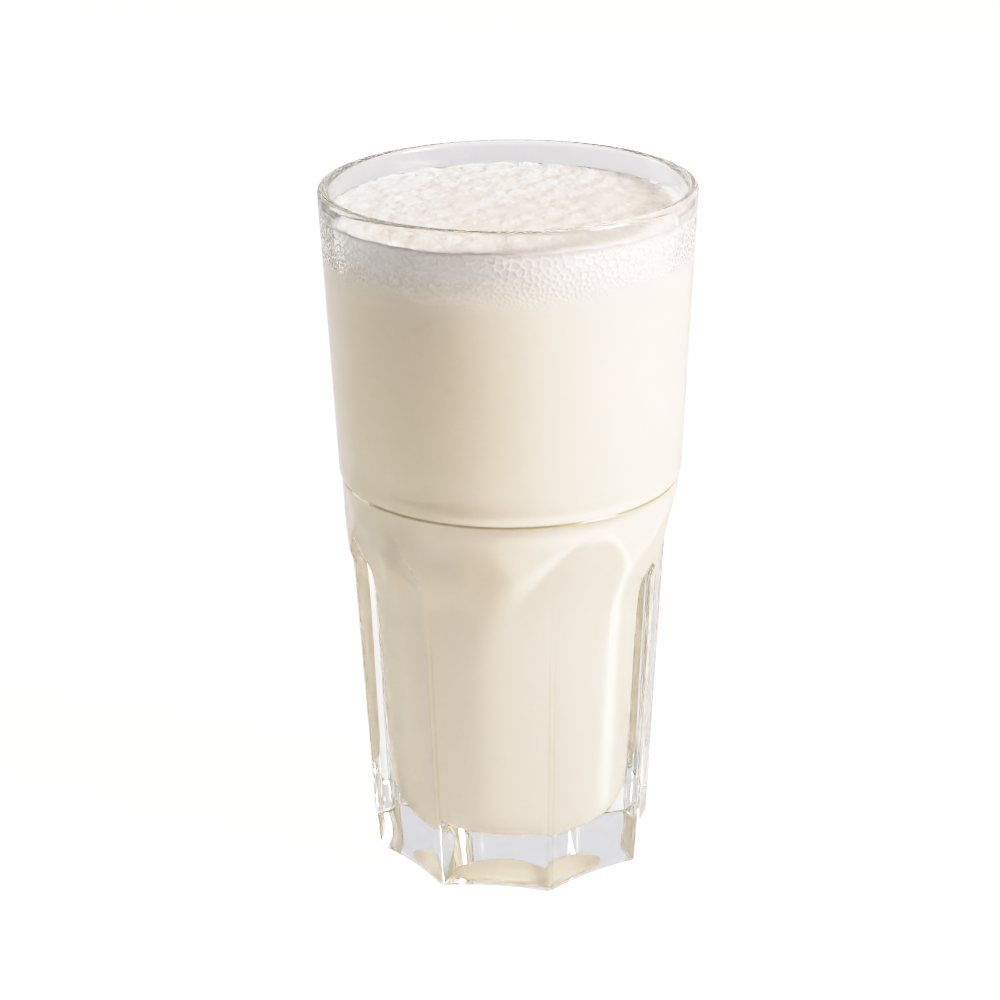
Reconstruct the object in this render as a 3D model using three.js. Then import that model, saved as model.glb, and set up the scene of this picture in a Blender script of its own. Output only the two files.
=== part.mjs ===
// A tall pressed-glass tumbler of lassi, filled almost to the rim and topped with froth.
// The upper half of the tumbler is a plain round cone. Below a small step its thick wall is pressed
// into eight hollow flutes, whose ramped heads rise to pointed arches under the step. Inside, a rounded
// shoulder just below the flutes' heads joins the wide upper bore to the narrow lower one.
// Millimetres, +Z up. The origin is the middle of the foot, on the surface it stands on.
// Angles are counted from the front, -Y, towards +X.

import * as THREE from 'three';

// Tumbler, outside
const HEIGHT = 150;
const RIM_RADIUS = 39.65;
const WALL = 2.3;
const STEP_HEIGHT = 87.2;
const STEP_RADIUS = 36.8;
const STEP_DEPTH = 0.5;
const STEP_FALL = 0.7;
const COLLAR_TAPER = 0.028;
const FOOT_RIDGE_RADIUS = 31.2;
const RIDGE_TAPER = 0.0545;
const FOOT_BEVEL = 0.5;

// Flutes
const FLUTES = 8;
const FIRST_RIDGE = THREE.MathUtils.degToRad(14.4);
const FLUTE_HOLLOW_RADIUS = 58;
const RIDGE_BLUNTING = 0.35;
const HEAD_START = 71;
const HEAD_SLOPE = 0.335;
const HEAD_EASE = 3.2;
const COLLAR_FOOT = 70.5;
const COLLAR_EASE = 0.55;
const CREASE_EASE = 0.15;

// Tumbler, inside and underneath
const UPPER_BORE_TAPER = 0.118;
const LOWER_BORE_TAPER = 0.056;
const LOWER_BORE_RADIUS = 19.8;
const SHOULDER_HEIGHT = 67;
const SHOULDER_EASE = 2.4;
const FLOOR_HEIGHT = 8.6;
const FLOOR_CORNER_RADIUS = 8;
const PUNT_RADIUS = 22;
const PUNT_DEPTH = 0.8;

// Contents
const CONTACT_GAP = 0.3;
const FROTH_FOOT = 132.6;
const FROTH_LEVEL = 145;
const FROTH_RISE_AT_WALL = 0.25;
const FROTH_MOUNDS = [
  { x: 19.8, y: 5.3, height: 0.5, spread: 4.2 },
  { x: -9.0, y: 1.4, height: 0.45, spread: 4.5 },
  { x: 2.1, y: -3.1, height: 0.4, spread: 4.0 },
  { x: -3.0, y: 21.0, height: 0.45, spread: 9.0 },
  { x: -22.0, y: -9.0, height: 0.25, spread: 6.0 },
];
const FROTH_RIPPLE = 0.12;
const FROTH_RIPPLE_LENGTH = 11;

// Facets
const COLUMNS_PER_FLUTE = 10;
const COLUMN_CROWDING = 0.5;
const HEAD_ROWS_FROM = 67;
const HEAD_ROW_STEP = 1.5;
const FLUTE_ROW_STEP = 16;
const PLAIN_ROW_STEP = 32;
const SHOULDER_ROW_STEP = 2.5;
const SHOULDER_REACH = 10;
const PUNT_ROWS = 3;
const ARC_STEPS = 5;
const FROTH_RINGS = 9;

const COLUMNS = FLUTES * COLUMNS_PER_FLUTE;
const LIP_RADIUS = WALL / 2;
const LIP_HEIGHT = HEIGHT - LIP_RADIUS;
const BORE_RIM_RADIUS = RIM_RADIUS - WALL;
const HALF_FLUTE = Math.PI / FLUTES;

// The columns of every piece share these angles, crowded towards the ridges.
const columnAngles = Array.from({ length: COLUMNS }, (_, i) => {
  const flute = Math.floor(i / COLUMNS_PER_FLUTE);
  const u = (i % COLUMNS_PER_FLUTE) / COLUMNS_PER_FLUTE;
  const crowded = u - (COLUMN_CROWDING * Math.sin(2 * Math.PI * u)) / (2 * Math.PI);
  return FIRST_RIDGE + (flute + crowded) * 2 * HALF_FLUTE;
});

// The lesser of two values, with the corner between them eased over a width.
function easedMin(a, b, ease) {
  return (a + b - Math.hypot(a - b, ease)) / 2;
}

// Zero below zero and x above it, with the corner eased over a width.
function easedRamp(x, ease) {
  return (x + Math.hypot(x, ease)) / 2;
}

function ridgeRadius(z) {
  return FOOT_RIDGE_RADIUS + RIDGE_TAPER * z;
}

// The round blank: the cone of the ridges, flaring at their tops into the collar under the step.
function collarRadius(z) {
  return STEP_RADIUS - STEP_DEPTH - COLLAR_TAPER * (STEP_HEIGHT - z);
}

function blankRadius(z) {
  const flare = 1 / (1 + Math.exp(-(z - COLLAR_FOOT) / COLLAR_EASE));
  const ridge = ridgeRadius(z);
  return ridge + Math.max(0, collarRadius(z) - ridge) * flare;
}

// One flute: a shallow hollow across its width, with a straight run that ramps outwards at its head.
// Its section is the parabola n = depth + s^2 / (2 * hollow radius), s across and n outwards.
function fluteRadius(fromCentre, z) {
  const sharpRidge = ridgeRadius(z) + RIDGE_BLUNTING;
  const across = sharpRidge * Math.sin(HALF_FLUTE);
  const floor = sharpRidge * Math.cos(HALF_FLUTE) - (across * across) / (2 * FLUTE_HOLLOW_RADIUS);
  const depth = floor + HEAD_SLOPE * easedRamp(z - HEAD_START, HEAD_EASE);
  const c = Math.cos(fromCentre);
  const s = Math.sin(fromCentre);
  return (2 * depth) / (c + Math.sqrt(c * c - (2 * s * s * depth) / FLUTE_HOLLOW_RADIUS));
}

function wallRadius(angle, z) {
  if (z >= STEP_HEIGHT) {
    const rise = (z - STEP_HEIGHT) / (LIP_HEIGHT - STEP_HEIGHT);
    return THREE.MathUtils.lerp(STEP_RADIUS, RIM_RADIUS, rise);
  }
  const turn = (angle - FIRST_RIDGE) / (2 * HALF_FLUTE);
  const fromCentre = (turn - Math.floor(turn) - 0.5) * 2 * HALF_FLUTE;
  return easedMin(blankRadius(z), fluteRadius(fromCentre, z), CREASE_EASE);
}

function boreRadius(z) {
  const upper = BORE_RIM_RADIUS - UPPER_BORE_TAPER * (LIP_HEIGHT - z);
  const lower = LOWER_BORE_RADIUS + LOWER_BORE_TAPER * z;
  return lower + (upper - lower) / (1 + Math.exp(-(z - SHOULDER_HEIGHT) / SHOULDER_EASE));
}

// A row of a skin: one point in each column.
function row(radiusAt, heightAt) {
  return columnAngles.map((angle) => {
    const r = radiusAt(angle);
    const z = heightAt(angle, r);
    return new THREE.Vector3(r * Math.sin(angle), -r * Math.cos(angle), z);
  });
}

function roundRow(r, z) {
  return row(() => r, () => z);
}

// A closed skin from one point on the axis, through its rows in order, to another point on the axis.
// It starts under the body and comes up its outside, so that the faces point out.
function skin(firstPoleHeight, rows, lastPoleHeight) {
  const points = [new THREE.Vector3(0, 0, firstPoleHeight), ...rows.flat()];
  const last = points.push(new THREE.Vector3(0, 0, lastPoleHeight)) - 1;
  const faces = [];
  const at = (r, i) => 1 + r * COLUMNS + (i % COLUMNS);
  for (let i = 0; i < COLUMNS; i += 1) {
    faces.push(0, at(0, i + 1), at(0, i));
    for (let r = 0; r + 1 < rows.length; r += 1) {
      faces.push(at(r, i), at(r, i + 1), at(r + 1, i + 1));
      faces.push(at(r, i), at(r + 1, i + 1), at(r + 1, i));
    }
    faces.push(last, at(rows.length - 1, i), at(rows.length - 1, i + 1));
  }
  const geometry = new THREE.BufferGeometry().setFromPoints(points);
  geometry.setIndex(faces);
  geometry.computeVertexNormals();
  return geometry;
}

function steps(from, to, step) {
  const count = Math.round((to - from) / step);
  return Array.from({ length: count + 1 }, (_, i) => from + ((to - from) * i) / count);
}

// The rounded corner between the bore's wall and its floor, kept a gap clear when it bounds the drink.
// The arc meets the wall at the wall's own slope.
function boreCorner(gap) {
  const radius = FLOOR_CORNER_RADIUS - gap;
  const slope = Math.atan(LOWER_BORE_TAPER);
  const centreHeight = FLOOR_HEIGHT + FLOOR_CORNER_RADIUS;
  const tangentHeight = centreHeight - FLOOR_CORNER_RADIUS * Math.sin(slope);
  const centreRadius = boreRadius(tangentHeight) - FLOOR_CORNER_RADIUS * Math.cos(slope);
  return steps(-slope, -Math.PI / 2, -(Math.PI / 2 - slope) / ARC_STEPS).map((a) => ({
    r: centreRadius + radius * Math.cos(a),
    z: centreHeight + radius * Math.sin(a),
  }));
}

// The heights of the bore's rows, from its corner up to a given height, close together at the shoulder.
function boreHeights(cornerHeight, topHeight) {
  const foot = SHOULDER_HEIGHT - SHOULDER_REACH;
  const head = SHOULDER_HEIGHT + SHOULDER_REACH;
  return [
    ...steps(cornerHeight, foot, PLAIN_ROW_STEP).slice(1, -1),
    ...steps(foot, head, SHOULDER_ROW_STEP),
    ...steps(head, topHeight, PLAIN_ROW_STEP).slice(1),
  ];
}

function tumblerGeometry() {
  const punt = steps(1 / PUNT_ROWS, 1, 1 / PUNT_ROWS).map(
    (k) => roundRow(PUNT_RADIUS * k, PUNT_DEPTH * (1 - k * k)),
  );
  const foot = row((a) => wallRadius(a, FOOT_BEVEL) - FOOT_BEVEL, () => 0);
  const flutedHeights = [
    ...steps(FOOT_BEVEL, HEAD_ROWS_FROM, FLUTE_ROW_STEP).slice(0, -1),
    ...steps(HEAD_ROWS_FROM, STEP_HEIGHT - STEP_FALL, HEAD_ROW_STEP),
  ];
  const fluted = flutedHeights.map((z) => row((a) => wallRadius(a, z), () => z));
  const plain = steps(STEP_HEIGHT, LIP_HEIGHT, PLAIN_ROW_STEP).map((z) => roundRow(wallRadius(0, z), z));
  const lip = steps(0, Math.PI, Math.PI / (ARC_STEPS + 1)).slice(1, -1).map((a) => {
    const middle = RIM_RADIUS - LIP_RADIUS;
    return roundRow(middle + LIP_RADIUS * Math.cos(a), LIP_HEIGHT + LIP_RADIUS * Math.sin(a));
  });
  const corner = boreCorner(0);
  const bore = boreHeights(corner[0].z, LIP_HEIGHT).reverse().map((z) => roundRow(boreRadius(z), z));
  const floor = corner.map(({ r, z }) => roundRow(r, z));
  const rows = [...punt, foot, ...fluted, ...plain, ...lip, ...bore, ...floor];
  return skin(PUNT_DEPTH, rows, FLOOR_HEIGHT);
}

function lassiGeometry() {
  const top = FROTH_FOOT - CONTACT_GAP / 2;
  const corner = boreCorner(CONTACT_GAP).reverse();
  const floor = corner.map(({ r, z }) => roundRow(r, z));
  const wallHeights = boreHeights(corner[corner.length - 1].z, top);
  const wall = wallHeights.map((z) => roundRow(boreRadius(z) - CONTACT_GAP, z));
  return skin(FLOOR_HEIGHT + CONTACT_GAP, [...floor, ...wall], top);
}

// The uneven top of the froth: low mounds and ripples, creeping up a little at the wall.
function frothHeight(x, y, nearWall) {
  const mounds = FROTH_MOUNDS.reduce((sum, m) => {
    const away = Math.hypot(x - m.x, y - m.y) / m.spread;
    return sum + m.height * Math.exp(-away * away);
  }, 0);
  const wave = (2 * Math.PI) / FROTH_RIPPLE_LENGTH;
  const ripple = FROTH_RIPPLE * Math.sin(wave * x + 0.8) * Math.cos(wave * y - 0.5);
  return FROTH_LEVEL + mounds + ripple + FROTH_RISE_AT_WALL * nearWall ** 8;
}

function frothGeometry() {
  const foot = FROTH_FOOT + CONTACT_GAP / 2;
  const footRow = roundRow(boreRadius(foot) - CONTACT_GAP, foot);
  const edge = boreRadius(FROTH_LEVEL) - CONTACT_GAP;
  const top = steps(1, 1 / FROTH_RINGS, -1 / FROTH_RINGS).map((k) => row(
    () => edge * k,
    (angle, r) => frothHeight(r * Math.sin(angle), -r * Math.cos(angle), k),
  ));
  return skin(foot, [footRow, ...top], frothHeight(0, 0, 0));
}

function piece(name, geometry, material) {
  const mesh = new THREE.Mesh(geometry, new THREE.MeshStandardMaterial(material));
  mesh.name = name;
  return mesh;
}

const glassOfLassi = new THREE.Group();
glassOfLassi.add(piece('tumbler', tumblerGeometry(), {
  color: 0xe9efec, roughness: 0.03, metalness: 0, transparent: true, opacity: 0.3,
}));
glassOfLassi.add(piece('lassi', lassiGeometry(), { color: 0xf3ecdf, roughness: 0.45, metalness: 0 }));
glassOfLassi.add(piece('froth', frothGeometry(), { color: 0xf4eee6, roughness: 0.6, metalness: 0 }));

export default glassOfLassi;
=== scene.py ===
import math

import bpy
import numpy as np
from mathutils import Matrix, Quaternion, Vector


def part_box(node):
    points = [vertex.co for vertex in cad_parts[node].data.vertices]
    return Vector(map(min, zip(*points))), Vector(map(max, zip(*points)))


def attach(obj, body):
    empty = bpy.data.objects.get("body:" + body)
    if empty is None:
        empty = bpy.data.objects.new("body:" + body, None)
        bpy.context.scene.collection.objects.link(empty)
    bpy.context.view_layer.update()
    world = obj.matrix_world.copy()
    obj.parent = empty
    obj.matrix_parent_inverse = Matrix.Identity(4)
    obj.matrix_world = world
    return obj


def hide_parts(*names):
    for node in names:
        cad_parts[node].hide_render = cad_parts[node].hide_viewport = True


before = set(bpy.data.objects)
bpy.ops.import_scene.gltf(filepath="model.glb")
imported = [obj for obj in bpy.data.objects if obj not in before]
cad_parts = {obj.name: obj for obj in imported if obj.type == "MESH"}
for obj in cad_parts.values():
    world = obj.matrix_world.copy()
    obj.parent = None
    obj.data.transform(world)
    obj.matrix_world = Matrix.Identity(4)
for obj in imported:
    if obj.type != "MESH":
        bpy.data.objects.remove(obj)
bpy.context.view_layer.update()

# The tumbler. One piece of clear soda-lime glass, pressed in an iron mould: the plunger shapes the plain
# bore, the mould shapes a round upper wall over eight hollow flutes, and a flame then rounds the lip.
# Angles are counted from the front, -Y, towards +X.
MM = 0.001
TUMBLER_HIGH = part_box("tumbler")[1]
RIM_RADIUS = TUMBLER_HIGH.x
WALL = 2.3 * MM
LIP_RADIUS = WALL / 2
LIP_HEIGHT = TUMBLER_HIGH.z - LIP_RADIUS
STEP_HEIGHT = 87.2 * MM
STEP_RADIUS = 36.8 * MM
STEP_DEPTH = 0.5 * MM
STEP_ROUNDING = 1.5 * MM
STEP_TUCK = 0.75 * MM
STEP_FACE = 0.01 * MM
GROOVE_DEPTH = 0.3 * MM
GROOVE_WIDTH = 0.35 * MM
COLLAR_TAPER = 0.028
COLLAR_EDGE = STEP_HEIGHT - 1.2 * MM
COLLAR_FOOT = 70.5 * MM
COLLAR_EASE = 0.55 * MM
FOOT_RIDGE_RADIUS = 31.2 * MM
FOOT_BEVEL = 0.7 * MM
RIDGE_TAPER = 0.0545
RIDGE_BLUNTING = 0.35 * MM
FLUTES = 8
FIRST_RIDGE = math.radians(14.4)
HALF_FLUTE = math.pi / FLUTES
HOLLOW_RADIUS = 58 * MM
HEADS_FROM = 66 * MM
HEAD_START = 71 * MM
HEAD_SLOPE = 0.335
HEAD_EASE = 3.2 * MM
CREASE_EASE = 0.06 * MM
UPPER_BORE_TAPER = 0.118
LOWER_BORE_TAPER = 0.056
LOWER_BORE_RADIUS = 19.8 * MM
SHOULDER_HEIGHT = 67 * MM
SHOULDER_EASE = 2.4 * MM
FLOOR_HEIGHT = 8.6 * MM
FLOOR_CORNER = 8 * MM
PUNT_RADIUS = 22 * MM
PUNT_DEPTH = 0.8 * MM

# The rows of points up each part of the tumbler, closest where its shape turns fastest.
PUNT_ROWS = 9
BEVEL_ROWS = 6
FLUTE_ROWS = 30
HEAD_ROWS = 64
COLLAR_ROWS = 16
STEP_ROWS = 14
CONE_ROWS = 22
LIP_ROWS = 15
BORE_ROWS = 80
CORNER_ROWS = 18
COLUMNS_PER_FLUTE = 46
COLUMN_CROWDING = 0.8


def eased_min(a, b, ease):
    """The smaller of two values, with the corner between them rounded off."""
    return (a + b - np.hypot(a - b, ease)) / 2


def eased_ramp(x, ease):
    """Nothing below 0 and x above it, with the corner between them rounded off."""
    return (x + np.hypot(x, ease)) / 2


def ridge_radius(z):
    """The cone that the ridges between the flutes lie on."""
    return FOOT_RIDGE_RADIUS + RIDGE_TAPER * z


def blank_radius(z):
    """The round body under the flutes: the cone of their ridges, flaring into the collar."""
    below = np.maximum(STEP_HEIGHT - z, 0)
    collar = STEP_RADIUS - STEP_DEPTH - COLLAR_TAPER * below
    flare = 1 / (1 + np.exp(-(z - COLLAR_FOOT) / COLLAR_EASE))
    groove = GROOVE_DEPTH * np.exp(-((below / GROOVE_WIDTH) ** 2))
    return ridge_radius(z) + np.maximum(0, collar - ridge_radius(z)) * flare - groove


def flute_radius(from_centre, z):
    """One flute: a shallow parabola across its width, with a straight run ramping out at its head."""
    sharp = ridge_radius(z) + RIDGE_BLUNTING
    across = sharp * math.sin(HALF_FLUTE)
    floor = sharp * math.cos(HALF_FLUTE) - across**2 / (2 * HOLLOW_RADIUS)
    depth = floor + HEAD_SLOPE * eased_ramp(z - HEAD_START, HEAD_EASE)
    c = np.cos(from_centre)
    s = np.sin(from_centre)
    root = np.sqrt(np.maximum(c * c - 2 * s * s * depth / HOLLOW_RADIUS, 0))
    return 2 * depth / (c + root)


def upper_radius(z):
    """The plain cone above the step, tucked in at its lower edge."""
    rise = (z - STEP_HEIGHT) / (LIP_HEIGHT - STEP_HEIGHT)
    tuck = np.clip(1 - (z - STEP_HEIGHT) / STEP_ROUNDING, 0, 1)
    return STEP_RADIUS + (RIM_RADIUS - STEP_RADIUS) * rise - STEP_TUCK * (1 - np.sqrt(1 - tuck**2))


def from_flute_centre(angle):
    """How far an angle is from the middle of its flute."""
    turn = (angle - FIRST_RIDGE) / (2 * HALF_FLUTE)
    return (turn - np.floor(turn) - 0.5) * 2 * HALF_FLUTE


def wall_radius(angle, z):
    """The outside of the glass at one height, from the foot to the lip."""
    if z >= STEP_HEIGHT:
        return np.full_like(angle, upper_radius(z))
    return eased_min(blank_radius(z), flute_radius(from_flute_centre(angle), z), CREASE_EASE)


def bore_radius(z):
    """The plunger's shape: wide above, narrow in the thick wall below, with a soft shoulder between."""
    upper = RIM_RADIUS - WALL - UPPER_BORE_TAPER * (LIP_HEIGHT - z)
    lower = LOWER_BORE_RADIUS + LOWER_BORE_TAPER * z
    return lower + (upper - lower) / (1 + np.exp(-(z - SHOULDER_HEIGHT) / SHOULDER_EASE))


def bore_corner(outset):
    """The rounded corner from the bore's wall down to its floor, as (radius, height) pairs."""
    slope = math.atan(LOWER_BORE_TAPER)
    centre_height = FLOOR_HEIGHT + FLOOR_CORNER
    tangent_height = centre_height - FLOOR_CORNER * math.sin(slope)
    centre_radius = bore_radius(tangent_height) - FLOOR_CORNER * math.cos(slope)
    reach = FLOOR_CORNER + outset
    turns = np.linspace(-slope, -math.pi / 2, CORNER_ROWS)
    return [(centre_radius + reach * math.cos(a), centre_height + reach * math.sin(a)) for a in turns]


def columns(per_flute, crowding):
    """The angles of a skin's columns, crowded towards the ridges of the flutes."""
    u = np.arange(FLUTES * per_flute) / per_flute
    crowded = u - crowding * np.sin(2 * math.pi * u) / (2 * math.pi)
    return FIRST_RIDGE + crowded * 2 * HALF_FLUTE


def ring(angles, radius, height):
    """One row of a skin."""
    radius = np.broadcast_to(radius, angles.shape)
    height = np.broadcast_to(height, angles.shape)
    return np.column_stack((radius * np.sin(angles), -radius * np.cos(angles), height))


def smooth_piece(name, points, faces):
    """A smooth-shaded object of the given points and faces, in the scene."""
    mesh = bpy.data.meshes.new(name)
    mesh.from_pydata(points.tolist(), [], faces)
    mesh.shade_smooth()
    piece = bpy.data.objects.new(name, mesh)
    bpy.context.scene.collection.objects.link(piece)
    return piece


def skin(name, first_pole, rings, last_pole):
    """A closed piece from a point on the axis, through its rings, to another point on the axis."""
    count = len(rings[0])
    points = np.vstack([(0, 0, first_pole), *rings, (0, 0, last_pole)])
    here = np.arange(count)
    after = (here + 1) % count
    rows = 1 + count * np.arange(len(rings) - 1)[:, None]
    quads = np.stack((rows + here, rows + after, rows + count + after, rows + count + here), axis=-1)
    first_fan = np.column_stack((np.zeros(count, int), 1 + after, 1 + here))
    top = 1 + count * (len(rings) - 1)
    last_fan = np.column_stack((np.full(count, len(points) - 1), top + here, top + after))
    faces = [*quads.reshape(-1, 4).tolist(), *first_fan.tolist(), *last_fan.tolist()]
    return smooth_piece(name, points, faces)


tumbler_angles = columns(COLUMNS_PER_FLUTE, COLUMN_CROWDING)
punt_rings = [
    ring(tumbler_angles, PUNT_RADIUS * k, PUNT_DEPTH * (1 - k * k))
    for k in np.linspace(0, 1, PUNT_ROWS)[1:]
]
foot_rings = [
    ring(
        tumbler_angles,
        wall_radius(tumbler_angles, FOOT_BEVEL) - FOOT_BEVEL * (1 - math.sin(a)),
        FOOT_BEVEL * (1 - math.cos(a)),
    )
    for a in np.linspace(0, math.pi / 2, BEVEL_ROWS)
]
wall_heights = np.concatenate(
    (
        np.linspace(FOOT_BEVEL, HEADS_FROM, FLUTE_ROWS)[1:],
        np.linspace(HEADS_FROM, COLLAR_EDGE, HEAD_ROWS)[1:],
        np.linspace(COLLAR_EDGE, STEP_HEIGHT - STEP_FACE, COLLAR_ROWS)[1:],
        np.linspace(STEP_HEIGHT, STEP_HEIGHT + STEP_ROUNDING, STEP_ROWS),
        np.linspace(STEP_HEIGHT + STEP_ROUNDING, LIP_HEIGHT, CONE_ROWS)[1:],
    )
)
wall_rings = [ring(tumbler_angles, wall_radius(tumbler_angles, z), z) for z in wall_heights]
lip_rings = [
    ring(
        tumbler_angles,
        RIM_RADIUS - LIP_RADIUS * (1 - math.cos(a)),
        LIP_HEIGHT + LIP_RADIUS * math.sin(a),
    )
    for a in np.linspace(0, math.pi, LIP_ROWS)[1:-1]
]
tumbler_corner = bore_corner(0)
bore_rings = [
    ring(tumbler_angles, bore_radius(z), z)
    for z in np.linspace(LIP_HEIGHT, tumbler_corner[0][1], BORE_ROWS)[:-1]
]
floor_rings = [ring(tumbler_angles, r, z) for r, z in tumbler_corner]
tumbler = skin(
    "pressed_tumbler",
    PUNT_DEPTH,
    [*punt_rings, *foot_rings, *wall_rings, *lip_rings, *bore_rings, *floor_rings],
    FLOOR_HEIGHT,
)

# Painted shade along the thin lines that the mould leaves, at the step and down the edges of the flutes, up
# to their heads.
# Their small roundings alone read too pale, so the glass is faintly tinted a darker olive along them as
# well: painted shade, for the dark lines that refraction makes there.
STEP_SHADE_WIDTH = 0.24 * MM
FLUTE_SHADE_WIDTH = 0.08 * MM
FLUTE_SHADE_STRENGTH = 0.26
FLUTE_SHADE_TOP = 62 * MM
FLUTE_SHADE_FADE = 8 * MM
# The colour of the painted shade along the mould's lines.
LINE_SHADE_COLOUR = "#B2AB86"
CLEAR_COLOUR = "#FFFFFF"


def line_shade_share(angle, z):
    """How much painted shade a point gets on one of the mould's thin lines: the step's, or an edge of a
    flute.
    """
    step = np.exp(-(((z - STEP_HEIGHT + STEP_SHADE_WIDTH) / STEP_SHADE_WIDTH) ** 2))
    if z >= STEP_HEIGHT:
        return np.full_like(angle, step)
    apart = blank_radius(z) - flute_radius(from_flute_centre(angle), z)
    edge = np.exp(-((apart / FLUTE_SHADE_WIDTH) ** 2))
    below_head = np.clip((FLUTE_SHADE_TOP - z) / FLUTE_SHADE_FADE, 0, 1)
    return np.maximum(step, FLUTE_SHADE_STRENGTH * below_head * edge)


def linear(code):
    """A colour's sRGB hex code as linear red, green, blue and a full alpha."""
    parts = [int(code[i : i + 2], 16) / 255 for i in (1, 3, 5)]
    return [p / 12.92 if p <= 0.04045 else ((p + 0.055) / 1.055) ** 2.4 for p in parts] + [1.0]


def blend(first, second, share):
    """Between two colours, by the share of the second."""
    return np.array(linear(first)) * (1 - share) + np.array(linear(second)) * share


def paint(mesh, layer_name, colours):
    """Gives each point of a mesh its own colour."""
    layer = mesh.color_attributes.new(layer_name, "FLOAT_COLOR", "POINT")
    layer.data.foreach_set("color", np.ascontiguousarray(colours, dtype=np.float32).ravel())


# Painted shade: the glass's colour, darker along the mould's lines.
line_shade_shares = np.zeros(len(tumbler.data.vertices))
first_wall_point = 1 + len(tumbler_angles) * (len(punt_rings) + len(foot_rings))
wall_line_shades = np.concatenate([line_shade_share(tumbler_angles, z) for z in wall_heights])
line_shade_shares[first_wall_point : first_wall_point + len(wall_line_shades)] = wall_line_shades
paint(tumbler.data, "mould_line_shade", blend(CLEAR_COLOUR, LINE_SHADE_COLOUR, line_shade_shares[:, None]))

# Pressed soda-lime glass: clear and glossy, with a trace of iron that turns long ways through it olive.
# A pressed wall is never quite even, so slow waves across it make its reflections wander a little.
GLASS_TINT = "#D6DAC5"
GLASS_TINT_DENSITY = 2.5
GLASS_WAVE = 9 * MM
GLASS_WAVE_HEIGHT = 0.5 * MM
GLASS_WAVE_STRENGTH = 0.05


def add(tree, kind, links=None, **settings):
    """Adds a node. Settings are its properties or, with a socket's name, its inputs; links feed inputs."""
    node = tree.nodes.new(kind)
    for key, value in settings.items():
        if hasattr(node, key):
            setattr(node, key, value)
        else:
            node.inputs[key.replace("_", " ")].default_value = value
    for key, socket in (links or {}).items():
        tree.links.new(socket, node.inputs[key])
    return node


def new_material(name):
    """A material with an empty tree of nodes, and that tree."""
    material = bpy.data.materials.new(name)
    material.use_nodes = True
    material.node_tree.nodes.clear()
    return material, material.node_tree


glass, tree = new_material("pressed soda-lime glass")
place = add(tree, "ShaderNodeTexCoord")
waves = add(
    tree,
    "ShaderNodeTexNoise",
    {"Vector": place.outputs["Object"]},
    Scale=1 / GLASS_WAVE,
    Detail=1.0,
)
bump = add(
    tree,
    "ShaderNodeBump",
    {"Height": waves.outputs["Fac"]},
    Strength=GLASS_WAVE_STRENGTH,
    Distance=GLASS_WAVE_HEIGHT,
)
# The glass's colour carries the painted shade along the mould's lines.
lines = add(tree, "ShaderNodeVertexColor", layer_name="mould_line_shade")
surface = add(
    tree,
    "ShaderNodeBsdfPrincipled",
    {"Normal": bump.outputs["Normal"], "Base Color": lines.outputs["Color"]},
    Roughness=0.0,
    IOR=1.52,
    Transmission_Weight=1.0,
)
tint = add(
    tree,
    "ShaderNodeVolumeAbsorption",
    Color=linear(GLASS_TINT),
    Density=GLASS_TINT_DENSITY,
)
add(
    tree,
    "ShaderNodeOutputMaterial",
    {"Surface": surface.outputs["BSDF"], "Volume": tint.outputs["Volume"]},
)
tumbler.data.materials.append(glass)
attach(tumbler, "root")
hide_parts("tumbler")

# The lassi. Yoghurt beaten with water and sugar: an opaque warm ivory liquid, poured in, which wets the
# glass everywhere. It reaches just into the wall, so that no air shows between the two.
LASSI_OUTSET = 0.1 * MM
LASSI_COLUMNS = 30
LASSI_ROWS = 110
LASSI_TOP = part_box("froth")[0].z
LASSI_COLOUR = "#FBF7F0"
lassi_angles = columns(LASSI_COLUMNS, 0)
lassi_corner = bore_corner(LASSI_OUTSET)
lassi_foot = [ring(lassi_angles, r, z) for r, z in reversed(lassi_corner)]
lassi_wall = [
    ring(lassi_angles, bore_radius(z) + LASSI_OUTSET, z)
    for z in np.linspace(lassi_corner[0][1], LASSI_TOP, LASSI_ROWS)[1:]
]
lassi = skin("lassi", FLOOR_HEIGHT - LASSI_OUTSET, [*lassi_foot, *lassi_wall], LASSI_TOP)

# Yoghurt drink: white fat and protein in water, opaque, and cream against the white of its froth. It has
# no gloss of its own, because it meets the glass and not the air.
lassi_look, tree = new_material("beaten yoghurt drink")
surface = add(
    tree,
    "ShaderNodeBsdfPrincipled",
    Base_Color=linear(LASSI_COLOUR),
    Roughness=0.5,
    Specular_IOR_Level=0.0,
)
add(tree, "ShaderNodeOutputMaterial", {"Surface": surface.outputs["BSDF"]})
lassi.data.materials.append(lassi_look)
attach(lassi, "root")
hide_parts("lassi")

# The froth. Foam of the same drink, beaten in and floated up: wet, with domes where bubbles stand up,
# larger smooth swells, and flattened cells where bubbles press on the glass.
FROTH_LEVEL = 145 * MM
FROTH_SINK = 0.25 * MM
FROTH_RISE_AT_WALL = 0.25 * MM
FROTH_RISE_POWER = 8
FROTH_RIPPLE = 0.12 * MM
FROTH_RIPPLE_LENGTH = 11 * MM
FROTH_RIPPLE_START = (0.8, -0.5)
LOOKUP_SQUARE = 2.4 * MM
DISC_GAP = 0.92

# The swells, each by its place, to the right and to the back, its height and its spread.
SMOOTH_SWELLS = [
    (19.8 * MM, 5.3 * MM, 0.5 * MM, 4.2 * MM),
    (-9.0 * MM, 1.4 * MM, 0.45 * MM, 4.5 * MM),
    (2.1 * MM, -3.1 * MM, 0.4 * MM, 4.0 * MM),
]
BROAD_SWELLS = [
    (-3.0 * MM, 21.0 * MM, 0.45 * MM, 9.0 * MM),
    (-22.0 * MM, -9.0 * MM, 0.25 * MM, 6.0 * MM),
]


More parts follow.
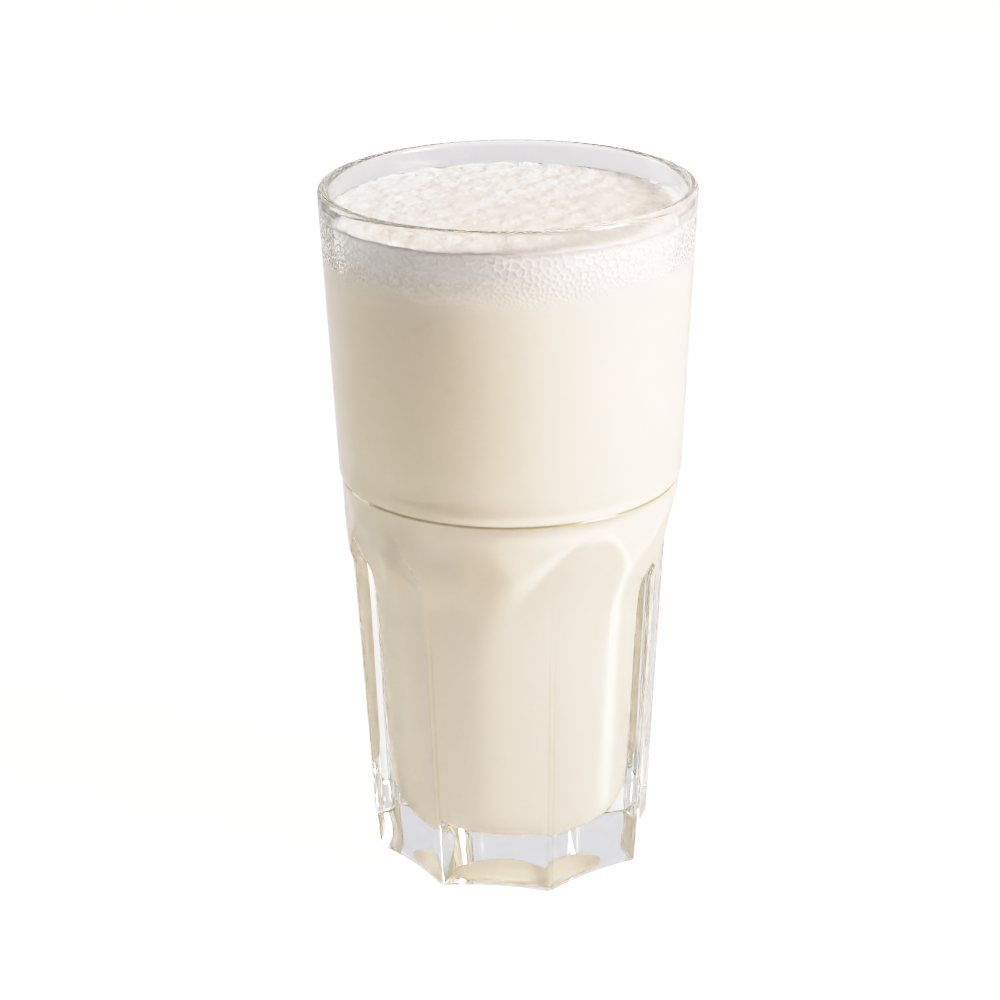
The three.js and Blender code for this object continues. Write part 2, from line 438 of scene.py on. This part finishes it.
def froth_height(x, y, near_wall):
    """The surface of the froth without its bubbles: level, swelling, rippled, and risen at the wall."""
    swells = sum(
        h * np.exp(-((x - cx) ** 2 + (y - cy) ** 2) / s**2)
        for cx, cy, h, s in SMOOTH_SWELLS + BROAD_SWELLS
    )
    wave = 2 * math.pi / FROTH_RIPPLE_LENGTH
    start_x, start_y = FROTH_RIPPLE_START
    ripple = FROTH_RIPPLE * np.sin(wave * x + start_x) * np.cos(wave * y + start_y)
    return FROTH_LEVEL + swells + ripple + FROTH_RISE_AT_WALL * near_wall**FROTH_RISE_POWER


def scatter(rng, width, height, radius_at, tries, gap=DISC_GAP):
    """Places discs of uneven size at random, big ones first, so that they nearly touch."""
    grid = {}
    kept = []
    u = rng.uniform(0, width, tries)
    v = rng.uniform(0, height, tries)
    r = radius_at(u, v, rng.uniform(0, 1, tries))
    for i in np.argsort(-r):
        if r[i] <= 0:
            continue
        cu, cv = int(u[i] / LOOKUP_SQUARE), int(v[i] / LOOKUP_SQUARE)
        near = (p for du in (-1, 0, 1) for dv in (-1, 0, 1) for p in grid.get((cu + du, cv + dv), ()))
        if all((u[i] - a) ** 2 + (v[i] - b) ** 2 > (gap * (r[i] + c)) ** 2 for a, b, c in near):
            kept.append((u[i], v[i], r[i]))
            grid.setdefault((cu, cv), []).append(kept[-1])
    return np.array(kept)


def stamp(count, pixel, discs, profile):
    """Draws each disc's profile into a square height field, keeping the greatest value at each point."""
    field = np.zeros((count, count))
    for number, (u, v, r) in enumerate(discs):
        reach = int(r / pixel) + 2
        i0, j0 = int(u / pixel), int(v / pixel)
        i = np.arange(max(i0 - reach, 0), min(i0 + reach + 1, count))
        j = np.arange(max(j0 - reach, 0), min(j0 + reach + 1, count))
        away = np.hypot((i * pixel - u)[:, None], (j * pixel - v)[None, :]) / r
        patch = np.ix_(i, j)
        field[patch] = np.maximum(field[patch], profile(away, r, number))
    return field


def sample(field, pixel, u, v):
    """The field's value between its points."""
    a = np.clip(u / pixel, 0, field.shape[0] - 1.001)
    b = np.clip(v / pixel, 0, field.shape[1] - 1.001)
    i, j = a.astype(int), b.astype(int)
    p, q = a - i, b - j
    low = field[i, j] * (1 - p) + field[i + 1, j] * p
    high = field[i, j + 1] * (1 - p) + field[i + 1, j + 1] * p
    return low * (1 - q) + high * q


# The top of the froth: a fine grid over the round surface, raised by its bubbles. Most bubbles stand up
# as domes and the rest have burst and left a low ring, over wide low clots of foam. Radii are in
# millimetres and rises in shares of a radius.
BUBBLE_LEAST = 0.25
BUBBLE_UNEVEN = 0.16
BUBBLE_LARGE = 0.2
BUBBLE_LARGE_IF_COARSE = 0.6
BUBBLE_LARGE_POWER = 7
BUBBLE_TRIES = 34000
BUBBLE_OVERHANG = 0.4 * MM
SWELL_SHRINKS_BUBBLES = 0.3
SWELL_CALMS_RELIEF = 0.6
SWELL_REACH = 1.15
DOME_SHARE = 0.7
DOME_RISE = 0.2
RING_RISE = 0.14
RING_PLACE = 0.9
RING_WIDTH = 0.2
RING_REACH = 1.3
CLOT_LEAST = 1.3
CLOT_UNEVEN = 1.9
CLOT_RISE = 0.15
CLOT_STEEPNESS = 1.6
CLOT_GAP = 0.7
CLOT_TRIES = 900

# Where the froth is coarse: towards the back and the left and along the rim, in uneven patches.
COARSE_MIDDLE = 0.38
COARSE_CHANGE = 0.6
COARSE_TO_BACK = 0.75
COARSE_TO_LEFT = 0.65
COARSE_REACH = 34 * MM
COARSE_AT_RIM = 0.35
COARSE_RIM_RADIUS = 36 * MM
COARSE_RIM_POWER = 4
PATCH_STRENGTH = 0.22
PATCH_WIDTH = 2.9 * MM
PATCH_START = 1.3
PATCH_DEPTH = 3.7 * MM
PATCH_BEND = 1.1
PATCH_BEND_WIDTH = 6 * MM

# Coarse and raised bubbles are whiter, and the fine wet froth between them keeps the drink's cream
# colour. Where the froth touches the wall, it looks a cool white through the glass.
FROTH_WHITE = "#FEFDFC"
FROTH_CREAM = "#FAF2EC"
CONTACT_COLOUR = "#F3F2F4"
WHITE_IF_COARSE = 0.5
WHITE_IF_RAISED = 0.3
WHITE_THRESHOLD = 0.2
HIGH_CLOT = 0.2 * MM
HIGH_BUBBLE = 0.15 * MM

# The grid of the top, its edge at the wall, and the skirt and the slope under that edge.
TOP_CELLS = 290
TOP_PIXEL = 0.1 * MM
TOP_OUTSET = 0.1 * MM
TOP_MARGIN = 1 * MM
EDGE_WIDTH = 0.5 * MM
EDGE_RELIEF = 0.35
SKIRT_DEPTH = 0.9 * MM
SKIRT_SHRINK = 0.985
INNER_SHRINK = 0.93
FROTH_OVERLAP = 0.3 * MM
rng = np.random.default_rng(7)
top_radius = bore_radius(FROTH_LEVEL) + TOP_OUTSET
span = 2 * (top_radius + TOP_MARGIN)


def swell_at(x, y):
    """How smooth and wet the froth is at a point: 1 on the smooth swells, 0 away from them."""
    smooth = sum(
        np.exp(-(((x - cx) ** 2 + (y - cy) ** 2) / (SWELL_REACH * s) ** 2))
        for cx, cy, h, s in SMOOTH_SWELLS
    )
    return np.clip(smooth, 0, 1)


def coarse_at(x, y):
    """How coarse and white the froth is: near 1 at the back and the left, near 0 at the front and right."""
    far = (COARSE_TO_BACK * y - COARSE_TO_LEFT * x) / COARSE_REACH
    far = far + COARSE_AT_RIM * (np.hypot(x, y) / COARSE_RIM_RADIUS) ** COARSE_RIM_POWER
    bend = PATCH_BEND * np.sin(x / PATCH_BEND_WIDTH)
    patches = PATCH_STRENGTH * np.sin(x / PATCH_WIDTH + PATCH_START) * np.sin(y / PATCH_DEPTH + bend)
    return np.clip(COARSE_MIDDLE + COARSE_CHANGE * far + patches, 0, 1)


def bubble_radius(u, v, chance):
    """The radius of a bubble on the top, and none outside the glass."""
    x, y = u - span / 2, v - span / 2
    large = BUBBLE_LARGE + BUBBLE_LARGE_IF_COARSE * coarse_at(x, y)
    size = (BUBBLE_LEAST + BUBBLE_UNEVEN * chance + large * chance**BUBBLE_LARGE_POWER) * MM
    size = size * (1 - SWELL_SHRINKS_BUBBLES * swell_at(x, y))
    return np.where(np.hypot(x, y) < top_radius + BUBBLE_OVERHANG, size, 0)


top_bubbles = scatter(rng, span, span, bubble_radius, BUBBLE_TRIES)
domes = rng.uniform(0, 1, len(top_bubbles))


def bubble_profile(away, r, number):
    """The height of a dome, or of the ring of a burst bubble."""
    if domes[number] < DOME_SHARE:
        return DOME_RISE * r * np.sqrt(np.maximum(1 - np.minimum(away, 1) ** 2, 0))
    return RING_RISE * r * np.exp(-(((away - RING_PLACE) / RING_WIDTH) ** 2)) * (away < RING_REACH)


def clot_radius(u, v, chance):
    """The radius of a clot, the same everywhere but for chance."""
    return (CLOT_LEAST + CLOT_UNEVEN * chance) * MM


def clot_profile(away, r, number):
    """The height of a clot."""
    return CLOT_RISE * r * np.exp(-((CLOT_STEEPNESS * away) ** 2))


clots = scatter(rng, span, span, clot_radius, CLOT_TRIES, gap=CLOT_GAP)
pixels = int(span / TOP_PIXEL) + 2
top_field = stamp(pixels, TOP_PIXEL, top_bubbles, bubble_profile)
clot_field = stamp(pixels, TOP_PIXEL, clots, clot_profile)
side = np.linspace(-1, 1, TOP_CELLS + 1)
a, b = np.meshgrid(side, side, indexing="ij")
square_x = a * np.sqrt(1 - b * b / 2)
square_y = b * np.sqrt(1 - a * a / 2)
top_x = (square_x * top_radius).ravel()
top_y = (square_y * top_radius).ravel()
near_wall = np.hypot(square_x, square_y).ravel()
calm = 1 - SWELL_CALMS_RELIEF * swell_at(top_x, top_y)
bubbles_here = sample(top_field, TOP_PIXEL, top_x + span / 2, top_y + span / 2) * calm
clots_here = sample(clot_field, TOP_PIXEL, top_x + span / 2, top_y + span / 2) * calm
edge_fade = np.clip((1 - near_wall) * top_radius / EDGE_WIDTH, 0, 1)
relief = (bubbles_here + clots_here) * (EDGE_RELIEF + (1 - EDGE_RELIEF) * edge_fade)
top_z = froth_height(top_x, top_y, near_wall) - FROTH_SINK + relief
top_points = np.column_stack((top_x, top_y, top_z))

# Under its edge, a skirt goes down the wall, slopes inward into the drink and is closed by a flat fan.
index = np.arange((TOP_CELLS + 1) ** 2).reshape(TOP_CELLS + 1, TOP_CELLS + 1)
top_faces = np.stack((index[:-1, :-1], index[1:, :-1], index[1:, 1:], index[:-1, 1:]), axis=-1)
edge = np.concatenate((index[:-1, 0], index[-1, :-1], index[:0:-1, -1], index[0, :0:-1]))
skirt = top_points[edge] * (SKIRT_SHRINK, SKIRT_SHRINK, 1)
skirt[:, 2] = FROTH_LEVEL - SKIRT_DEPTH
inner = skirt * (INNER_SHRINK, INNER_SHRINK, 1)
inner[:, 2] = LASSI_TOP - FROTH_OVERLAP
around = np.arange(len(edge))
following = (around + 1) % len(edge)
skirt_row = len(top_points)
inner_row = skirt_row + len(edge)
bottom = inner_row + len(edge)
skirt_faces = np.column_stack((edge[around], skirt_row + around, skirt_row + following, edge[following]))
inner_faces = np.column_stack(
    (skirt_row + around, inner_row + around, inner_row + following, skirt_row + following)
)
bottom_faces = np.column_stack((np.full(len(edge), bottom), inner_row + following, inner_row + around))
froth_top = smooth_piece(
    "froth_top",
    np.vstack((top_points, skirt, inner, (0, 0, LASSI_TOP - FROTH_OVERLAP))),
    [
        *top_faces.reshape(-1, 4).tolist(),
        *skirt_faces.tolist(),
        *inner_faces.tolist(),
        *bottom_faces.tolist(),
    ],
)
coarse = coarse_at(top_x, top_y)
raised = 0.5 * clots_here / HIGH_CLOT + 0.5 * bubbles_here / HIGH_BUBBLE
whiteness = raised * (WHITE_IF_RAISED + (1 - WHITE_IF_RAISED) * coarse)
whiteness = np.clip(WHITE_IF_COARSE * coarse + whiteness - WHITE_THRESHOLD, 0, 1)
top_colours = blend(FROTH_CREAM, FROTH_WHITE, whiteness[:, None])
top_colours += (np.array(linear(CONTACT_COLOUR)) - top_colours) * (1 - edge_fade[:, None])
lower_colours = np.tile(linear(CONTACT_COLOUR), (2 * len(edge) + 1, 1))
paint(froth_top.data, "foam", np.vstack((top_colours, lower_colours)))

# The side of the froth: a ring of foam on the glass. Thin pale borders wet the wall, and the cells between
# them stand back from it by a hair and are painted darker, as painted shade in those recesses. The cells
# are largest under the surface, and finer and fainter further down, where the foam turns into drink. Radii
# are in millimetres.
SIDE_FOOT = 130.5 * MM
SIDE_TOP = FROTH_LEVEL + 0.05 * MM
SIDE_COLUMNS = 1180
SIDE_ROWS = 76
SIDE_FOOT_OUTSET = 0.06 * MM
SIDE_OUTSET = 0.14 * MM
SIDE_PIXEL = 0.1 * MM
SIDE_DEPTH = 2.4 * MM
SIDE_INNER_DROP = 0.3 * MM
CELL_LEAST = 0.32
CELL_GROWTH = 0.6
CELL_GROWTH_POWER = 2.2
CELL_EVEN = 0.4
CELL_UNEVEN = 0.9
CELL_UNEVEN_POWER = 1.5
CELL_GAP = 0.97
CELL_TRIES = 34000
CELL_REACH = 1.9
NO_CELL = 4.0
CELL_DEPTH = 0.22 * MM
# Painted shade: the cells' recesses are coloured darker than their borders.
CELL_SHADE_COLOUR = "#FAF7F3"
BORDER_HALF = 0.05 * MM
BORDER_BLUR = 0.2 * MM
BORDER_COLOUR = "#FEFDFC"

# The cells differ most from their borders at the right, towards the key light: their painted shade is
# strongest there and faint at the left.
CELL_SHADE_MIDDLE = 0.6
CELL_SHADE_SWING = 0.8
CELL_SHADE_LEAST = 0.15

# Changes up the ring, in shares of its height: where each starts, and over how much it takes place.
OUTSET_GROWS = (0.02, 0.12)
FOAM_WHITENS = (0.1, 0.6)
CELLS_DEEPEN = (0.2, 0.25)
CONTACT_STARTS = (0.93, 0.05)
girth = 2 * math.pi * bore_radius(SIDE_TOP)
tall = SIDE_TOP - SIDE_FOOT


def side_radius(u, v, chance):
    """The radius of a cell on the side, larger and more uneven the higher it lies."""
    rise = np.clip(v / tall, 0, 1)
    uneven = CELL_EVEN + CELL_UNEVEN * chance**CELL_UNEVEN_POWER
    return (CELL_LEAST + CELL_GROWTH * rise**CELL_GROWTH_POWER * uneven) * MM


def foam_cells(shape, pixel, discs):
    """How far inside a cell each point lies, in metres from the border between it and the next cell."""
    near = np.full(shape, NO_CELL)
    second = np.full(shape, NO_CELL)
    size = np.zeros(shape)
    for u, v, r in discs:
        reach = int(CELL_REACH * r / pixel) + 2
        i0, j0 = int(u / pixel), int(v / pixel)
        i = np.arange(i0 - reach, i0 + reach + 1)
        j = np.arange(max(j0 - reach, 0), min(j0 + reach + 1, shape[1]))
        away = np.hypot((i * pixel - u)[:, None], (j * pixel - v)[None, :]) / r
        patch = np.ix_(i % shape[0], j)
        closer = away < near[patch]
        second[patch] = np.where(closer, near[patch], np.minimum(second[patch], away))
        size[patch] = np.where(closer, r, size[patch])
        near[patch] = np.minimum(near[patch], away)
    return (second - near) * size / 2


def ramp(k, change):
    """How far a change up the ring has gone at a share k of its height."""
    start, length = change
    return np.clip((k - start) / length, 0, 1)


side_cells = scatter(rng, girth, tall, side_radius, CELL_TRIES, gap=CELL_GAP)
side_shape = (int(girth / SIDE_PIXEL), int(tall / SIDE_PIXEL) + 2)
side_pixel = girth / side_shape[0]
side_field = foam_cells(side_shape, side_pixel, side_cells)
side_field = np.vstack((side_field, side_field[:2]))
side_angles = np.linspace(0, 2 * math.pi, SIDE_COLUMNS, endpoint=False)
side_places = side_angles / (2 * math.pi) * girth
cell_shade_by_side = np.clip(CELL_SHADE_MIDDLE + CELL_SHADE_SWING * np.sin(side_angles), CELL_SHADE_LEAST, 1)
side_rings = []
side_colours = []
for k in np.linspace(0, 1, SIDE_ROWS):
    z = SIDE_FOOT + tall * k
    inside = sample(side_field, side_pixel, side_places, np.full(SIDE_COLUMNS, tall * k))
    cell = np.clip((inside - BORDER_HALF) / BORDER_BLUR, 0, 1)[:, None]
    contact = ramp(k, CONTACT_STARTS)
    outset = SIDE_FOOT_OUTSET + (SIDE_OUTSET - SIDE_FOOT_OUTSET) * ramp(k, OUTSET_GROWS)
    recess = CELL_DEPTH * cell[:, 0] * ramp(k, CELLS_DEEPEN) * (1 - contact)
    side_rings.append(ring(side_angles, bore_radius(z) + outset - recess, z))
    # Painted shade in the cells, by how far inside a cell a point lies and by the side of the glass it is
    # on.
    foam = blend(BORDER_COLOUR, CELL_SHADE_COLOUR, cell * cell_shade_by_side[:, None])
    foam = foam * (1 - contact) + np.array(linear(CONTACT_COLOUR)) * contact
    whiter = ramp(k, FOAM_WHITENS)
    side_colours.append(np.array(linear(LASSI_COLOUR)) * (1 - whiter) + foam * whiter)
inner_high = ring(side_angles, bore_radius(SIDE_TOP) - SIDE_DEPTH, SIDE_TOP - SIDE_INNER_DROP)
inner_low = ring(side_angles, bore_radius(SIDE_FOOT) - SIDE_DEPTH, SIDE_FOOT)
loops = [*side_rings, inner_high, inner_low]
here = np.arange(SIDE_COLUMNS)
after = (here + 1) % SIDE_COLUMNS
side_faces = []
for k in range(len(loops)):
    low = k * SIDE_COLUMNS
    high = ((k + 1) % len(loops)) * SIDE_COLUMNS
    side_faces += np.column_stack((low + here, low + after, high + after, high + here)).tolist()
froth_side = smooth_piece("froth_side", np.vstack(loops), side_faces)
paint(froth_side.data, "foam", np.vstack((*side_colours, side_colours[-1], side_colours[0])))

# Wet foam: whiter than the drink, as its bubbles scatter the light, with small soft glints.
froth_look, tree = new_material("wet foam of fine bubbles")
# The points' colours carry the painted shade in the side's cells.
foam_and_cell_shade_colour = add(tree, "ShaderNodeVertexColor", layer_name="foam")
surface = add(
    tree,
    "ShaderNodeBsdfPrincipled",
    {"Base Color": foam_and_cell_shade_colour.outputs["Color"]},
    Roughness=0.4,
    Specular_IOR_Level=0.3,
)
add(tree, "ShaderNodeOutputMaterial", {"Surface": surface.outputs["BSDF"]})
for piece in (froth_top, froth_side):
    piece.data.materials.append(froth_look)
    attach(piece, "root")
    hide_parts("froth")

# The stage: a flat floor of matt white paper, just under the foot of the glass. It glows enough to be
# plain white to the camera, and much less where it is seen through the glass or lights the drink.
FLOOR_SIZE = 8.0
FLOOR_GAP = 0.1 * MM
FLOOR_COLOUR = "#FAFAFA"
FLOOR_SEEN_THROUGH = "#F0F0F6"
FLOOR_LIFT = 0.55
FLOOR_LIFT_SEEN_THROUGH = 0.09
half = FLOOR_SIZE / 2
corners = [(-half, -half, 0), (half, -half, 0), (half, half, 0), (-half, half, 0)]
floor_mesh = bpy.data.meshes.new("floor")
floor_mesh.from_pydata(corners, [], [(0, 1, 2, 3)])
floor = bpy.data.objects.new("floor", floor_mesh)
floor.location.z = -FLOOR_GAP
bpy.context.scene.collection.objects.link(floor)
paper, tree = new_material("white paper")
rays = add(tree, "ShaderNodeLightPath")
to_camera = rays.outputs["Is Camera Ray"]
paper_colour = add(tree, "ShaderNodeMix", {"Factor": to_camera}, data_type="RGBA")
colour_inputs = [s for s in paper_colour.inputs if s.type == "RGBA"]
colour_inputs[0].default_value = linear(FLOOR_SEEN_THROUGH)
colour_inputs[1].default_value = linear(FLOOR_COLOUR)
matt = add(tree, "ShaderNodeBsdfDiffuse", {"Color": paper_colour.outputs[2]})
lift = add(
    tree,
    "ShaderNodeMapRange",
    {0: to_camera},
    To_Min=FLOOR_LIFT_SEEN_THROUGH,
    To_Max=FLOOR_LIFT,
)
glow = add(tree, "ShaderNodeEmission", {"Strength": lift.outputs[0]}, Color=(1, 1, 1, 1))
both = add(tree, "ShaderNodeAddShader", {0: matt.outputs[0], 1: glow.outputs[0]})
add(tree, "ShaderNodeOutputMaterial", {"Surface": both.outputs[0]})
floor.data.materials.append(paper)

# Soft studio light: a large warm softbox at the right and a little in front, a white panel behind at the
# left, and a pale room all round. Azimuths are counted from the front, towards the right.
LIGHT_AIM = Vector((0, 0, 80 * MM))


def softbox(name, azimuth, elevation, distance, width, height, power, colour):
    """A rectangle of light that faces the glass."""
    lamp = bpy.data.lights.new(name, "AREA")
    lamp.shape = "RECTANGLE"
    lamp.size = width
    lamp.size_y = height
    lamp.energy = power
    lamp.color = linear(colour)[:3]
    light = bpy.data.objects.new(name, lamp)
    a, e = math.radians(azimuth), math.radians(elevation)
    away = Vector((math.sin(a) * math.cos(e), -math.cos(a) * math.cos(e), math.sin(e)))
    light.location = LIGHT_AIM + away * distance
    light.rotation_euler = away.to_track_quat("Z", "Y").to_euler()
    bpy.context.scene.collection.objects.link(light)


softbox(
    "key_softbox",
    azimuth=66,
    elevation=33,
    distance=1.0,
    width=0.36,
    height=0.45,
    power=7.1,
    colour="#FFF5F2",
)
softbox(
    "rear_panel",
    azimuth=-118,
    elevation=20,
    distance=1.2,
    width=0.5,
    height=0.9,
    power=3.2,
    colour="#FFFFFF",
)

# The room has dim walls under a paler ceiling, and lights the drink and the floor. What shows through
# the clear glass and in its reflections is an even, brighter backdrop, and the camera sees plain white.
ROOM_COLOUR = "#FDFFF8"
ROOM_WALLS = 0.22
ROOM_CEILING = 0.45
CEILING_STARTS = 0.5
CEILING_FULL = 0.95
BACKDROP_COLOUR = "#F3F3F8"
BACKDROP_STRENGTH = 0.7
world = bpy.data.worlds.new("light room")
bpy.context.scene.world = world
world.use_nodes = True
tree = world.node_tree
tree.nodes.clear()
rays = add(tree, "ShaderNodeLightPath")
direction = add(tree, "ShaderNodeTexCoord")
upness = add(tree, "ShaderNodeSeparateXYZ", {0: direction.outputs["Generated"]})
walls = add(
    tree,
    "ShaderNodeMapRange",
    {0: upness.outputs["Z"]},
    From_Min=CEILING_STARTS,
    From_Max=CEILING_FULL,
    To_Min=ROOM_WALLS,
    To_Max=ROOM_CEILING,
)
room = add(tree, "ShaderNodeBackground", {"Strength": walls.outputs[0]}, Color=linear(ROOM_COLOUR))
backdrop = add(
    tree,
    "ShaderNodeBackground",
    Color=linear(BACKDROP_COLOUR),
    Strength=BACKDROP_STRENGTH,
)
white = add(tree, "ShaderNodeBackground", Color=(1, 1, 1, 1), Strength=1.0)
lights_a_surface = add(
    tree,
    "ShaderNodeMath",
    {0: rays.outputs["Diffuse Depth"]},
    operation="GREATER_THAN",
)
around_glass = add(
    tree,
    "ShaderNodeMixShader",
    {0: lights_a_surface.outputs[0], 1: backdrop.outputs[0], 2: room.outputs[0]},
)
mixed = add(
    tree,
    "ShaderNodeMixShader",
    {0: rays.outputs["Is Camera Ray"], 1: around_glass.outputs[0], 2: white.outputs[0]},
)
add(tree, "ShaderNodeOutputWorld", {"Surface": mixed.outputs[0]})

# The camera, where the photographer stood: about 0.6 m away, looking down about 21 degrees, and held a
# touch off level.
CAMERA_PLACE = Vector((0, -557.27 * MM, 290.95 * MM))
CAMERA_AIM = Vector((-2.3 * MM, 0, 79.5 * MM))
CAMERA_ROLL = math.radians(-0.61)
CAMERA_LENS = 99.0
SENSOR_WIDTH = 36.0
CAMERA_NEAR = 0.01
camera_data = bpy.data.cameras.new("camera")
camera_data.lens = CAMERA_LENS
camera_data.sensor_width = SENSOR_WIDTH
camera_data.clip_start = CAMERA_NEAR
camera = bpy.data.objects.new("camera", camera_data)
camera.location = CAMERA_PLACE
level = (CAMERA_AIM - CAMERA_PLACE).to_track_quat("-Z", "Y")
camera.rotation_euler = (level @ Quaternion((0, 0, 1), CAMERA_ROLL)).to_euler()
bpy.context.scene.collection.objects.link(camera)
bpy.context.scene.camera = camera

# The camera's response to light, on the curve for all three colours together: darker shades and lighter
# lights. Clear glass needs many bounces, and keeps its bright spots only where nothing clamps them.
FILM_RESPONSE = [(0.2, 0.12), (0.38, 0.32), (0.49, 0.53), (0.61, 0.74), (0.72, 0.86), (0.84, 0.93)]
ALL_COLOURS_CURVE = 3
scene = bpy.context.scene
scene.view_settings.view_transform = "Standard"
scene.view_settings.use_curve_mapping = True
response = scene.view_settings.curve_mapping
for x, y in FILM_RESPONSE:
    response.curves[ALL_COLOURS_CURVE].points.new(x, y)
response.update()
scene.cycles.use_denoising = True
scene.cycles.max_bounces = 24
scene.cycles.diffuse_bounces = 8
scene.cycles.glossy_bounces = 8
scene.cycles.transmission_bounces = 20
scene.cycles.volume_bounces = 0
scene.cycles.caustics_reflective = True
scene.cycles.caustics_refractive = True
scene.cycles.blur_glossy = 0.0
scene.cycles.sample_clamp_indirect = 0.0
